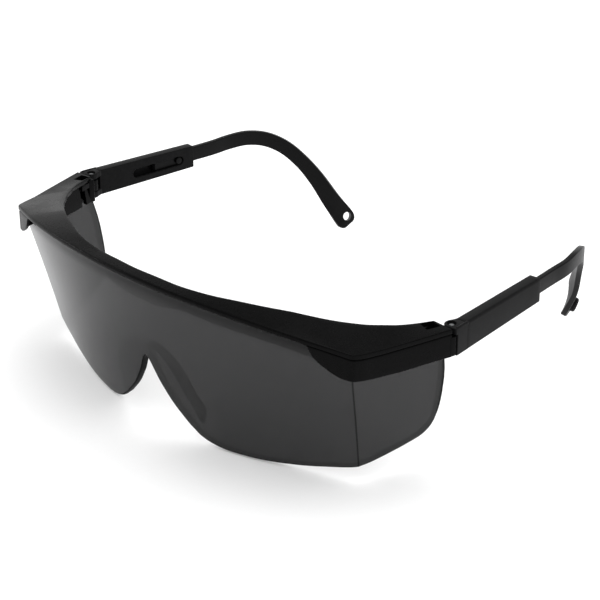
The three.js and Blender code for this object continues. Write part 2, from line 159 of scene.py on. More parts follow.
def loft(name, rings, place=None):
    """A closed, capped body through rings of equal point count; place moves every point."""
    if place:
        rings = [[place(point) for point in ring] for ring in rings]
    count = len(rings[0])
    verts = [point for ring in rings for point in ring]
    last = (len(rings) - 1) * count
    faces = []
    for base in range(0, last, count):
        above = base + count
        for j in range(count):
            k = (j + 1) % count
            faces.append((base + j, base + k, above + k, above + j))
    for base, flip in ((0, True), (last, False)):
        verts.append(tuple(sum(verts[base + j][q] for j in range(count)) / count
                           for q in range(3)))
        centre = len(verts) - 1
        for j in range(count):
            k = (j + 1) % count
            faces.append((base + k, base + j, centre) if flip else (base + j, base + k, centre))
    mesh = bpy.data.meshes.new(name)
    mesh.from_pydata([to_row(point) for point in verts], [], faces)
    mesh.validate()
    ob = add_object(name, mesh)
    with editing(mesh) as bm:
        bmesh.ops.recalc_face_normals(bm, faces=bm.faces)
        if bm.calc_volume(signed=True) < 0:
            bmesh.ops.reverse_faces(bm, faces=bm.faces)
    return ob


def per_corner(radius, count):
    """One radius per corner, from a list or from a single radius."""
    return radius if isinstance(radius, (list, tuple)) else [radius] * count


def round_rect(width, height, radius, steps):
    """Counter-clockwise rounded rectangle centred on the origin."""
    outline = []
    corners = ((1, 1, 0), (-1, 1, 90), (-1, -1, 180), (1, -1, 270))
    for (side_x, side_y, start), r in zip(corners, per_corner(radius, 4)):
        r = min(r, width / 2 - 1e-4, height / 2 - 1e-4)
        centre_x, centre_y = side_x * (width / 2 - r), side_y * (height / 2 - r)
        for i in range(steps + 1):
            angle = math.radians(start + 90 * i / steps)
            outline.append((centre_x + r * math.cos(angle), centre_y + r * math.sin(angle)))
    return outline


def rectangle(x0, x1, y0, y1):
    return [(x0, y0), (x1, y0), (x1, y1), (x0, y1)]


def unit(vector):
    return vector.normalized() if vector.length > 1e-9 else Vector((0, 0))


def offset_outline(outline, distance):
    """Moves a closed counter-clockwise outline inwards."""
    moved = []
    for i in range(len(outline)):
        corner = Vector(outline[i])
        arriving = unit(corner - Vector(outline[i - 1]))
        leaving = unit(Vector(outline[(i + 1) % len(outline)]) - corner)
        normal = Vector((-arriving.y, arriving.x))
        mitre = normal + Vector((-leaving.y, leaving.x))
        if mitre.length < 1e-9:
            mitre = normal
        mitre.normalize()
        stretch = max(0.35, mitre.dot(normal))
        moved.append((corner.x + mitre.x * distance / stretch,
                      corner.y + mitre.y * distance / stretch))
    return moved


def dense(outline, step):
    """Splits the edges of an outline into pieces no shorter than step."""
    points = []
    for i, a in enumerate(outline):
        b = outline[(i + 1) % len(outline)]
        pieces = max(1, int(math.hypot(b[0] - a[0], b[1] - a[1]) / step))
        for j in range(pieces):
            points.append((lerp(a[0], b[0], j / pieces), lerp(a[1], b[1], j / pieces)))
    return points


def rounded_corners(outline, radius):
    """Rounds the corners of a counter-clockwise outline; one radius or one per corner."""
    steps = 6
    points = []
    for i, r in enumerate(per_corner(radius, len(outline))):
        corner = Vector(outline[i])
        back = Vector(outline[i - 1]) - corner
        ahead = Vector(outline[(i + 1) % len(outline)]) - corner
        back_length, ahead_length = back.length, ahead.length
        back.normalize()
        ahead.normalize()
        angle = back.angle(ahead)
        if r <= 0 or angle > math.radians(176):
            points.append((corner.x, corner.y))
            continue
        trim = min(r / math.tan(angle / 2), back_length * 0.49, ahead_length * 0.49)
        start, end = corner + back * trim, corner + ahead * trim
        for j in range(steps + 1):
            s = j / steps
            point = start * (1 - s) ** 2 + corner * 2 * s * (1 - s) + end * s ** 2
            points.append((point.x, point.y))
    return points


def slab(name, outline, low, high, edge, place=None):
    """An upright plate from low to high with its upper and lower edges rounded by edge."""
    arc = quarter(4) if edge > 0 else [(0, 0)]
    levels = [(edge * falling, low + edge * rising) for falling, rising in arc]
    levels += [(edge * rising, high - edge * falling) for falling, rising in arc]
    rings = []
    for inset, z in levels:
        ring = offset_outline(outline, inset) if edge > 0 else outline
        rings.append([(x, y, z) for x, y in ring])
    return loft(name, rings, place)


def rounded_slab(name, outline, radius, low, high, edge, place=None):
    return slab(name, rounded_corners(outline, radius), low, high, edge, place)


def turned(name, profile, place, count=40):
    """A lathed body about the z axis from (r, z) points that start and end near the axis."""
    rings = []
    for r, z in profile:
        r = max(r, 1e-3)
        angles = [2 * math.pi * j / count for j in range(count)]
        rings.append([(r * math.cos(angle), r * math.sin(angle), z) for angle in angles])
    return loft(name, rings, place)


def solid_state(mesh):
    """Volume in cubic millimetres and the number of edges not shared by exactly two faces."""
    bm = bmesh.new()
    bm.from_mesh(mesh)
    volume = bm.calc_volume(signed=True) * 1e9
    open_edges = sum(1 for edge in bm.edges if not edge.is_manifold)
    bm.free()
    return volume, open_edges


def boolean(ob, other, operation):
    """Exact boolean, retried with the cutter nudged by microns until the result is sound."""
    volume0, volume1 = solid_state(ob.data)[0], solid_state(other.data)[0]
    if operation == "UNION":
        least, most = max(volume0, volume1) * 0.999, (volume0 + volume1) * 1.001
    else:
        least, most = volume0 - volume1 * 1.001 - 0.5, volume0 * 1.0005
    best = None
    for attempt, nudge in enumerate((0, 0.0023, -0.0041, 0.0073)):
        nudge *= MM
        other.location = (nudge, -nudge * 0.7, nudge * 1.3)
        modifier = ob.modifiers.new("cut", "BOOLEAN")
        modifier.operation = operation
        modifier.solver = "EXACT"
        modifier.use_self = attempt % 2 == 1
        modifier.object = other
        bpy.context.view_layer.update()
        evaluated = ob.evaluated_get(bpy.context.evaluated_depsgraph_get())
        mesh = bpy.data.meshes.new_from_object(evaluated)
        ob.modifiers.clear()
        volume, open_edges = solid_state(mesh)
        score = (0 if least <= volume <= most else 1, open_edges)
        if best is None or score < best[0]:
            if best:
                bpy.data.meshes.remove(best[1])
            best = (score, mesh)
        else:
            bpy.data.meshes.remove(mesh)
        if score == (0, 0):
            break
    old, ob.data = ob.data, best[1]
    bpy.data.meshes.remove(old)
    discard(other)


def extent(ob):
    points = [vert.co for vert in ob.data.vertices]
    return ([min(point[i] for point in points) for i in range(3)],
            [max(point[i] for point in points) for i in range(3)])


def cut_shells(shells, cutter):
    """Takes the cutter out of every shell it touches, then discards it."""
    cutter_low, cutter_high = extent(cutter)
    for ob in shells:
        low, high = extent(ob)
        if all(low[i] < cutter_high[i] and cutter_low[i] < high[i] for i in range(3)):
            boolean(ob, duplicate(cutter), "DIFFERENCE")
    discard(cutter)


def join(shells, name):
    bm = bmesh.new()
    for ob in shells:
        bm.from_mesh(ob.data)
    mesh = bpy.data.meshes.new(name)
    bm.to_mesh(mesh)
    bm.free()
    for ob in shells:
        discard(ob)
    return add_object(name, mesh)


def mirror_copy(ob, name):
    copy = duplicate(ob)
    copy.name = copy.data.name = name
    with editing(copy.data) as bm:
        for vert in bm.verts:
            vert.co.x = -vert.co.x
        bmesh.ops.reverse_faces(bm, faces=bm.faces)
    return copy


def tidy(ob, weld, crease):
    """Welds near-duplicate points left by cutting; shades smooth with sharp edges past crease."""
    with editing(ob.data) as bm:
        bmesh.ops.remove_doubles(bm, verts=bm.verts, dist=weld * MM)
        bmesh.ops.dissolve_degenerate(bm, edges=bm.edges, dist=weld * 0.5 * MM)
        loose = [vert for vert in bm.verts if not vert.link_faces]
        bmesh.ops.delete(bm, geom=loose, context="VERTS")
        bmesh.ops.recalc_face_normals(bm, faces=bm.faces)
    ob.data.shade_smooth()
    ob.data.set_sharp_from_angle(angle=math.radians(crease))
    return ob


# ------------------------------------------------------------------ shared curves of frame and lens
# Coefficients of 1, (x/70)^2 and (x/70)^4 for the brow's front edge (y) and its top (z).
BROW_Y = (-47.43, 15.18, 1.76)
BROW_Z = (6.68, -4.41, -1.88)

# Outer and inner edges of the brow ledge seen from above: (x, y).
OUTER = [
    (0, -47.43), (8, -47.23), (16, -46.64), (24, -45.62), (32, -44.18), (40, -42.29),
    (48, -39.9), (55.5, -37.2), (62, -34.4), (66.5, -32.3), (69.3, -30.8), (70.4, -28.6),
    (71.8, -23.4), (73.6, -16.8), (75.6, -9.2), (77.6, -1.4)]
INNER = [
    (0, -43.3), (8, -42.9), (16, -42.3), (22.4, -41.2), (28.2, -39.6), (34.2, -37.0),
    (40.8, -33.9), (47, -30.3), (52.5, -26.4), (56.5, -23.1), (59.8, -19.9), (62.2, -17.4),
    (64.4, -14.4), (66.5, -11.5), (68.6, -7.2), (70.9, -1.4)]
outer_curve = both_sides(OUTER)
inner_curve = both_sides(INNER)


def even_quartic(factors, x):
    square = (x / 70.0) ** 2
    return factors[0] + factors[1] * square + factors[2] * square * square


def brow_top(x):
    return even_quartic(BROW_Z, min(abs(x), 72))


def frame_top(x, y):
    """Top of the frame: the brow's height, levelling out along the arms."""
    return lerp(brow_top(x), 0.25, clamp((y + 30) / 30)) if y > -30 else brow_top(x)


# ------------------------------------------------------------------ lens
# A station runs along the lens: 0 in the middle, +-1 at the folds, about +-2 at the rear ends.
LENS_T = 2.0
LENS_TOP = 1.75            # from the top of the frame down to the lens
LENS_BACK = 0.955          # from the brow's front edge back to the outer lens face
LENS_TILT = (0.2054, -0.0007, 0.2230, -0.1249)
FOLD_START, FOLD_END = 0.976, 1.045
SHIELD_END = 1.982         # station where the rear edge rounding starts
SHIELD_SPAN = 27.0         # side shield length per station
REAR_EDGE, LOWER_EDGE, UPPER_EDGE, INNER_EDGE = 0.55, 0.6, 0.35, 0.25
BEAD_DROP = 1.15           # from the lens top down to the foot of the bead
FACE_ROWS, EDGE_STEPS, BEAD_STEPS = 34, 5, 8

# Rear edge of the side shield: (z, y).
REAR = [(-40, 1.66), (-21.6, 1.66), (-17, 1.41), (-13.6, 0.95), (-10.6, 0.3), (-8.5, -0.2),
        (0, -0.2)]
# Lower edge of the front: (x, z).
BOTTOM = sampled([
    (0, -21.2), (0.5, -21.5), (1.4, -22.6), (2.8, -25.5), (4.2, -28.3), (5.7, -30.6),
    (7.2, -32.8), (8.8, -34.8), (10.3, -36.4), (11.9, -38), (13.4, -39.5), (15, -40.8),
    (16.6, -42.1), (18.2, -42.9), (19.8, -43.5), (23, -44.2), (26.2, -44.5), (29.3, -44.5),
    (32.4, -44.5), (35.4, -44.4), (38.3, -44.2), (41.3, -43.9), (44.2, -43.5), (47, -43.1),
    (49.8, -42.6), (52.7, -42), (55.4, -41.4), (58.2, -40.8), (61, -40.1), (63.4, -39.3)], 400)
# Lower edge of the side shield: (y, z).
SIDE = sampled([
    (-21.44, -39.27), (-18.1, -38.98), (-16, -38.6), (-13.9, -38.15), (-11.5, -37.55),
    (-9.1, -36.94), (-6.7, -36.23), (-4.3, -35.47), (-3.1, -34.98), (-2, -34.31),
    (-0.9, -33.28), (0.1, -31.9), (0.9, -29.4), (1.47, -25.67), (1.66, -21.6)], 200)
# Outline of the thickened nose arch: (z, half width).
ARCH = [(-41.5, 15.4), (-36.4, 15.9), (-30.9, 16.3), (-27.6, 16.0), (-23.6, 14.8),
        (-19.6, 12.0), (-17.6, 8.7), (-15.7, 5.3), (-14.8, 2.4), (-14.4, 0.0)]
# Path of the saddle rib: (x, z).
SADDLE = [(0, -20.3), (3.3, -21.9), (6.1, -25.2), (8.5, -29.1), (11.0, -33.5), (13.6, -37.4),
          (15.2, -39.7)]


def fold_x(z):
    return 66.84 + 0.1164 * (z + 9.74)


def lens_y(x, z):
    square, drop = (x / 70.0) ** 2, brow_top(x) - z
    return (even_quartic(BROW_Y, x) + LENS_BACK + LENS_TILT[0] * drop
            + LENS_TILT[1] * drop * drop + LENS_TILT[2] * square * drop
            + LENS_TILT[3] * square * square * drop)


def lens_point(station, z):
    """Point on the outer face of the lens."""
    along, side, fold = abs(station), (1 if station >= 0 else -1), fold_x(z)
    if along <= 1:
        x = fold * station
        return Vector((x, lens_y(x, z), z))
    fold_y = lens_y(fold, z)
    y = lerp(fold_y, look_up(REAR, z), along - 1)
    return Vector((side * (fold + 0.26231 * (y - fold_y)), y, z))


def lens_bottom(station):
    """Height of the lower edge, found by repeated steps towards the edge curves."""
    z = -38.0
    for _ in range(14):
        point = lens_point(station, z)
        if abs(station) <= 1:
            edge = look_up(BOTTOM, abs(point.x))
        else:
            edge = look_up(SIDE, point.y)
        z = lerp(z, edge, 0.8)
    return z


def lens_top(station):
    point = lens_point(station, 0)
    return frame_top(point.x, point.y) - LENS_TOP


def inward(station, z):
    step = 0.012
    along = lens_point(station + step, z) - lens_point(station - step, z)
    upward = lens_point(station, z + 0.5) - lens_point(station, z - 0.5)
    return upward.cross(along).normalized()


def skin(station, z):
    """Horizontal step inwards per millimetre of thickness, mitred across the sharp fold."""
    along, side = abs(station), (1 if station >= 0 else -1)
    if FOLD_START < along < FOLD_END:
        before, after = skin(side * FOLD_START, z), skin(side * FOLD_END, z)
        mitre = (before + after).normalized()
        mitre = mitre / mitre.dot(before)
        if along <= 1:
            return before.lerp(mitre, (along - FOLD_START) / (1 - FOLD_START))
        return mitre.lerp(after, (along - 1) / (FOLD_END - 1))
    normal = inward(station, z)
    level = math.hypot(normal.x, normal.y)
    return Vector((normal.x / level, normal.y / level, 0))


def arch_in(x, z):
    """0 outside the thickened nose arch, rising gently to 1 inside it."""
    if z > ARCH[-1][0] or abs(x) > look_up(ARCH, z):
        return 0.0
    near = 9.0
    for (za, xa), (zb, xb) in zip(ARCH, ARCH[1:]):
        share = ((abs(x) - xa) * (xb - xa) + (z - za) * (zb - za)) / ((xb - xa) ** 2 + (zb - za) ** 2)
        share = clamp(share)
        near = min(near, math.hypot(abs(x) - lerp(xa, xb, share), z - lerp(za, zb, share)))
    return smooth(near / 2.6)


def lens_columns():
    """(station, inset) of every upright section; the inset rounds the rear edges."""
    stations = [0.0]
    station = 0.0
    while station < FOLD_START - 1e-6:        # closer steps over the nose
        station = min(station + (0.0075 if station < 0.27 else 0.012), FOLD_START)
        stations.append(station)
    stations += [0.988, 0.9945, 1.0, 1.0137, 1.03, FOLD_END]
    stations += [FOLD_END + (SHIELD_END - FOLD_END) * i / 34 for i in range(1, 35)]
    columns = [(station, 0.0) for station in stations]
    for i in range(1, 5):
        angle = math.pi / 2 * i / 4
        columns.append((SHIELD_END + (REAR_EDGE / SHIELD_SPAN) * math.sin(angle),
                        REAR_EDGE * (1 - math.cos(angle))))
    return [(-station, inset) for station, inset in reversed(columns[1:])] + columns


def lens_profile(station, inset, low, high):
    """(depth, z) points: up the outer face, over the top and down the inner face."""
    outer, inner = inset, LENS_T - inset
    thick = inner - outer > 2 * LOWER_EDGE
    # shares of each edge radius taken out of the thickness
    lower = 0.999 if thick else 0.4
    upper = 1 if inner - outer > 2 * UPPER_EDGE else 0.4
    inner_upper = 1 if thick else 0.3
    arc = quarter(EDGE_STEPS)
    bead = 0.17 * (1 - smooth((abs(station) - 0.74) / 0.1))    # fades out before the folds
    bead_low, bead_high = high - BEAD_DROP, high - UPPER_EDGE - 0.02
    face_low = low + LOWER_EDGE
    points = [(outer + LOWER_EDGE * falling * lower, low + LOWER_EDGE * rising)
              for falling, rising in arc]
    points += [(outer, lerp(face_low, bead_low, i / FACE_ROWS)) for i in range(1, FACE_ROWS)]
    points += [(outer - bead * math.sin(math.pi * i / BEAD_STEPS) ** 2,
                lerp(bead_low, bead_high, i / BEAD_STEPS)) for i in range(BEAD_STEPS + 1)]
    points += [(outer + UPPER_EDGE * rising * upper, high - UPPER_EDGE * falling)
               for falling, rising in arc]
    points += [(inner - INNER_EDGE * falling * inner_upper, high - INNER_EDGE * rising)
               for falling, rising in arc]
    points += [(inner, lerp(high - INNER_EDGE, face_low, i / FACE_ROWS))
               for i in range(1, FACE_ROWS)]
    points += [(inner - LOWER_EDGE * rising * lower, low + LOWER_EDGE * falling)
               for falling, rising in arc]
    return points


def lens_body():
    """The lens shell, and its points each marked 1 near an edge or a fold, else 0; the marks carry
    the painted shade along edges and folds.
    """
    arch_depth = LENS_T - 0.7                 # the arch thickens what lies deeper than this
    rings, marks = [], []
    for station, inset in lens_columns():
        low, high = lens_bottom(station) + inset, lens_top(station) - inset
        step = skin(station, (low + high) / 2)
        ring = []
        for depth, z in lens_profile(station, inset, low, high):
            point = lens_point(station, z)
            if depth > arch_depth and abs(station) < 0.4:
                depth += 0.42 * arch_in(point.x, z) * clamp((depth - arch_depth) / 0.7)
            ring.append((point.x + step.x * depth, point.y + step.y * depth, z))
            # marks for the painted shade along edges and folds
            near_edge = (z < low + LOWER_EDGE * 0.8 or abs(abs(station) - 1) < 0.001
                         or abs(station) > 1.975)
            marks.append((to_row(ring[-1]), 1.0 if near_edge else 0.0))
        rings.append(ring)
    return loft("lens_body", rings), marks


def saddle_rib():
    """Rib behind the nose arch that carries the weight on the nose."""
    path = both_sides(SADDLE)
    rings = []
    count = 90
    for i in range(count + 1):
        share = i / count
        centre, tangent = path.at(share), path.tangent(share)
        out = Vector((-tangent.y, tangent.x, 0))               # away from the opening
        end_steps = min(share, 1 - share) * count
        # the rib is shallower at its ends and over the bridge
        depth = (4.4 * (0.55 + 0.45 * smooth(end_steps / 9))
                 * (0.82 + 0.18 * smooth(abs(share - 0.5) / 0.2)))
        front = lens_y(centre.x, centre.y) + 1.2
        ring = []
        for a, b in round_rect(1.7, depth, 0.75, 5):
            back = clamp((b + depth / 2) / 5.0)
            flare = 2.2 * back * back + a
            ring.append((centre.x + out.x * flare, front + b + depth / 2,
                         centre.y + out.y * flare))
        rings.append(ring)
    return loft("rib", rings)


def paint(mesh, name, values):
    mesh.attributes.new(name, "FLOAT", "POINT").data.foreach_set("value", values)


def paint_lens(mesh, marks):
    """Point values for the shader: nose arch, a mask for painted shade at edges and folds, and depth
    below the brow for the painted shade in the reflection there.
    """
    tree = KDTree(len(marks))
    for i, (point, _) in enumerate(marks):
        tree.insert(point, i)
    tree.balance()
    arch, rim, below_brow_shade = [], [], []
    for vert in mesh.vertices:
        x, y, z = vert.co.x / MM, vert.co.y / MM - ROW_Y, vert.co.z / MM - ROW_Z
        _, i, distance = tree.find(vert.co)
        arch.append(arch_in(x, z))
        # mask for the painted shade along edges and folds
        rim.append(marks[i][1] if distance < 0.4 * MM else 0.0)
        # depth below the brow, a mask for the painted shade in the reflection there
        below_brow_shade.append(clamp((frame_top(abs(x), y) - LENS_TOP - z) / 5.5))
    paint(mesh, "arch", arch)
    paint(mesh, "rim", rim)
    paint(mesh, "below_brow_shade", below_brow_shade)


def build_lens():
    ob, marks = lens_body()
    boolean(ob, saddle_rib(), "UNION")
    for side in (1, -1):                      # the upper corner is notched behind each fold
        x0, x1 = sorted((side * 60, side * 90))
        notch = rounded_slab("notch", rectangle(x0, x1, -3.3, 10), 0.6, low=-8.3, high=9, edge=0.3)
        boolean(ob, notch, "DIFFERENCE")
    ob.name = ob.data.name = "lens_moulding"
    tidy(ob, weld=0.008, crease=17)
    paint_lens(ob.data, marks)
    return ob


# ------------------------------------------------------------------ hinge axis and temple toe-in
HINGE_X, HINGE_Y = 74.6, 1.8
TOE = math.radians(6.29)
BORE = [(0, -12), (0.85, -12), (0.85, 4), (0, 4)]              # (r, z)


def at_hinge(point):
    return (point[0] + HINGE_X, point[1] + HINGE_Y, point[2])


def toed(point):
    """From temple axes (x outwards, y back from the hinge) to the working frame."""
    cos, sin = math.cos(TOE), math.sin(TOE)
    return (HINGE_X + point[0] * cos - point[1] * sin,
            HINGE_Y + point[0] * sin + point[1] * cos, point[2])


# ------------------------------------------------------------------ brow frame
LEDGE_T = 1.4
KNUCKLE_R = 2.0
# Lower edge of the rim behind the lens: (x, z).
RIM_LOW = [(0, -3.4), (8, -3.2), (13, -1.9), (17, -1.35), (22, -1.6), (27, -2.1), (38, -2.6),
           (47, -3.5), (55, -4.7), (62, -6.3), (66, -7.4), (80, -7.7)]
# Lower edge of the corner caps and arm walls: (x, z).
CAP_LOW = [
    (57.2, 2.7), (57.6, 1.9), (58.6, 0.1), (59.8, -2.2), (61.6, -3.8), (64.1, -5.5),
    (66.5, -6.8), (68.9, -7.2), (69.7, -7.4), (70.4, -7.6), (71.5, -7.95), (73.5, -8.2),
    (76, -8.1)]
# How far the inner edge of the ledge stands proud: (x, height).
LIFT = [(16, 0), (30, 0.5), (45, 0.85), (66, 0.85), (68.6, 0.6), (70.9, 0.3)]
# Cuts in each arm: name, outline, corner radii, bottom, top, edge rounding.
ARM_CUTS = [
    ("window", [(69.9, -5.6), (73.2, -6.5), (74.3, -2.3), (70.9, -1.9)], 0.25, -1.7, 3.8, 0),
    ("slot", rectangle(68.5, 72.6, -7.0, -4.7), 0.2, -9, -1.9, 0.1),
    ("seam", rectangle(72.2, 80, -1.05, 2), [0.5, 0, 0, 0], -1.95, 4, 0)]


def build_ledge():
    rings = []
    count = 260
    inner_r, lower_r = 0.3, 0.22
    for i in range(count + 1):
        outer, inner = outer_curve.at(i / count), inner_curve.at(i / count)
        width = math.hypot(inner.x - outer.x, inner.y - outer.y)
        outer_z = frame_top(outer.x, outer.y)
        inner_z = frame_top(inner.x, inner.y) + look_up(LIFT, abs(inner.x))
        brow = smooth((-31 - outer.y) / 5)    # 1 along the brow, 0 along the arms
        front_r = lerp(0.32, 0.6, brow)
        # (distance from the outer edge, drop), from the outer face up over the top
        top = [(front_r * rising, front_r * falling) for falling, rising in quarter(6)]
        top += [(lerp(front_r, width - inner_r, (k / 12) ** 1.4), 0.0) for k in range(1, 12)]
        top += [(width - inner_r * falling, inner_r * rising) for falling, rising in quarter(3)]
        under = [(width - inner_r * rising, LEDGE_T - inner_r * falling)
                 for falling, rising in quarter(3)]
        under.append(((width - inner_r + lower_r) / 2, LEDGE_T))
        under += [(lower_r * falling, LEDGE_T - lower_r * rising)
                  for falling, rising in quarter(3)]
        ring = []
        for k, (distance, drop) in enumerate(top + under):
            share = distance / width
            z = lerp(outer_z, inner_z, share) - drop
            if k < len(top):                  # the top rolls gently down towards the front edge
                z -= brow * (0.30 * (1 - clamp(distance / 6.5)) ** 2 - 0.08)
            ring.append((outer.x + (inner.x - outer.x) * share,
                         outer.y + (inner.y - outer.y) * share, z))
        rings.append(ring)
    return loft("brow", rings)


def build_rim():
    """Rim behind the lens."""
    rings = []
    count = 180
    front, back = LENS_T + 0.3, LENS_T + 1.9  # depths behind the outer lens face
    r = 0.3
    for i in range(count + 1):
        station = lerp(-1.9, 1.9, i / count)
        if 0.977 < abs(station) < 1.028:      # the rim goes straight across the fold
            continue
        low = look_up(RIM_LOW, abs(lens_point(station, -4).x))
        high = lens_top(station) + 0.9
        middle = lerp(low + r, high, 0.5)
        profile = [(front + r * falling, low + r * rising) for falling, rising in quarter(3)]
        profile += [(front, middle), (front, high), (back, high), (back, middle)]
        profile += [(back - r * rising, low + r * falling) for falling, rising in quarter(3)]
        normal = inward(station, (low + high) / 2)
        level = math.hypot(normal.x, normal.y)
        ring = []
        for depth, z in profile:
            point = lens_point(station, z)
            ring.append((point.x + normal.x / level * depth,
                         point.y + normal.y / level * depth, z))
        rings.append(ring)
    return loft("rim", rings)


def build_wall():
    """Corner cap and outer wall of the left arm, with a rounded shoulder under the lip."""
    first = 0.5 + 0.5 * 7.26 / (len(OUTER) - 1)
    sink = 0.10                               # the wall's face lies this far inside the lip's
    rings = []
    count = 150
    for i in range(count + 1):
        share = lerp(first, 1, (i / count) ** 1.25)
        edge, tangent = outer_curve.at(share), outer_curve.tangent(share)
        inner = 0.95 + 0.65 * clamp((edge.y + 31) / 6)
        high = frame_top(edge.x, edge.y)
        lip = high - LEDGE_T
        low = min(look_up(CAP_LOW, edge.x), lip - 0.15)
        room = lip - low                      # height of the wall below the lip
        top = lip - min(0.12, room * 0.12)
        shoulder, r = min(0.75, room * 0.45), min(0.3, room * 0.3)
        profile = [(sink + r * falling, low + r * rising) for falling, rising in quarter(4)]
        profile += [(sink, lerp(low + r, top - shoulder, q)) for q in (0.25, 0.5, 0.75)]
        profile += [(sink + shoulder * 0.62 * rising, top - shoulder * falling)
                    for falling, rising in quarter(6)]
        profile += [(sink + 0.5, top + 0.02), (sink + 0.5, high - 0.6), (inner, high - 0.6)]
        profile += [(inner, lerp(high - 0.6, low + r, q)) for q in (0.3, 0.6)]
        profile += [(inner - 0.2 * rising, low + 0.2 * falling) for falling, rising in quarter(3)]
        rings.append([(edge.x - tangent.y * depth, edge.y + tangent.x * depth, z)
                      for depth, z in profile])
    return loft("wall", rings)


def build_hinge_block():
    block = rounded_slab("block", rectangle(70.0, 76.6, -2.95, -0.65), 0.42,
                         low=-7.7, high=-0.4, edge=0.28)
    outline = [(HINGE_X - KNUCKLE_R, -1.0), (HINGE_X + KNUCKLE_R, -1.0)]
    for degrees in range(0, 181, 10):
        angle = math.radians(degrees)
        outline.append((HINGE_X + KNUCKLE_R * math.cos(angle),
                        HINGE_Y + KNUCKLE_R * math.sin(angle)))
    knuckle = slab("knuckle", dense(outline, 0.6), low=-5.75, high=-2.2, edge=0.22)
    boolean(block, knuckle, "UNION")
    cut_shells([block], turned("bore", BORE, at_hinge))

    def at_dimple(point):
        x, y, z = point
        return (HINGE_X - 1.45 + 0.7 * z + 0.5 * x, HINGE_Y + 1.45 - 0.7 * z + 0.5 * x, -4.0 + y)

    # blind dimple on the back of the knuckle, left by the moulding core
    dimple = [(0, -0.2), (0.42, -0.2), (0.34, 0.5), (0, 0.5)]
    cut_shells([block], turned("dimple", dimple, at_dimple, count=20))
    return block


def build_frame():
    ledge, rim = build_ledge(), build_rim()
    # short skirt beside the hinge
    skirt = rounded_slab("skirt", [(76.0, -1.8), (77.5, -1.8), (77.95, -0.02), (76.4, -0.02)], 0.3,
                         low=-7.9, high=-2.2, edge=0.2)
    left = [build_wall(), build_hinge_block(), skirt]
    for cut in ARM_CUTS:
        cut_shells(left, rounded_slab(*cut))
    # the sill closes the window from below
    left.append(rounded_slab("sill", [(69.8, -7.2), (74.9, -7.2), (75.7, -2.85), (70.2, -2.85)],
                             0.3, low=-2.6, high=-1.75, edge=0.1))
    left.append(rounded_slab("curb", [(69.1, -6.4), (69.75, -6.4), (70.8, -2.3), (70.2, -2.3)],
                             0.14, low=-2.5, high=-0.9, edge=0.06))
    right = [mirror_copy(ob, ob.name + "_r") for ob in left]
    for cut in ARM_CUTS:
        cutter = rounded_slab(*cut)
        mirrored = mirror_copy(cutter, "cutter")
        cut_shells([ledge, rim], cutter)
        cut_shells([ledge, rim], mirrored)
    return tidy(join([ledge, rim] + left + right, "brow_bar"), weld=0.012, crease=28)


# ------------------------------------------------------------------ temple sleeve
# In temple axes, see toed().
SLEEVE_OUT, SLEEVE_IN, SLEEVE_END = 3.2, -0.5, 39.2            # outer x, inner x, rear y
SLEEVE_TOP, SLEEVE_LOW = (0.10, -0.80), (-8.25, -8.1)          # z at the hinge and at the rear
BAR_X, BAR_Z = 1.38, -4.125                                    # centre of the tip's bar
DETENT_Z = -4.6                                                # centre of the detent and the stud
DETENT_FRONT, DETENT_BACK, DETENT_R = 15.5, 35.2, 1.5


def sleeve_tube(name, front, back, x0, x1, radii):
    edge = 0.16
    stations = [(front + edge * rising, edge * falling) for falling, rising in quarter(4)]
    stations += [(lerp(front + edge, back - edge, k / 24), 0) for k in range(1, 24)]
    stations += [(back - edge * falling, edge * rising) for falling, rising in quarter(4)]
    rings = []
    for y, inset in stations:
        share = max(0, y) / SLEEVE_END
        top, low = lerp(*SLEEVE_TOP, share), lerp(*SLEEVE_LOW, share)
        outline = round_rect(x1 - x0 - 2 * inset, top - low - 2 * inset,
                             [r - inset * 0.6 for r in radii], 5)
        rings.append([((x0 + x1) / 2 + a, y, (top + low) / 2 + b) for a, b in outline])
    return loft(name, rings, toed)


def channel_cutter():
    """Channel for the tip's bar, flared at its rear mouth."""
    rings = []
    for y, flare in ((14.6, 0), (30.0, 0), (38.9, 0), (SLEEVE_END + 1.0, 0.14)):
        outline = round_rect(2.1 + 2 * flare, 5.05 + 2 * flare, 0.25, 4)
        rings.append([(BAR_X + a, y, BAR_Z + b) for a, b in outline])
    return loft("channel", rings, toed)


def detent_cutter():
    """Long round-ended opening in the inner face, with a flared edge."""
    outline = []
    for centre, start in ((DETENT_BACK - DETENT_R, -math.pi / 2),
                          (DETENT_FRONT + DETENT_R, math.pi / 2)):
        for k in range(13):
            angle = start + math.pi * k / 12
            outline.append((centre + DETENT_R * math.cos(angle),
                            DETENT_Z + DETENT_R * math.sin(angle)))
    rings = []
    for x, flare in ((-0.95, 0.3), (-0.51, 0.14), (-0.37, 0.0), (0.8, 0.0)):
        rings.append([(x, y, z) for y, z in offset_outline(outline, -flare)])
    return loft("detent", rings, toed)


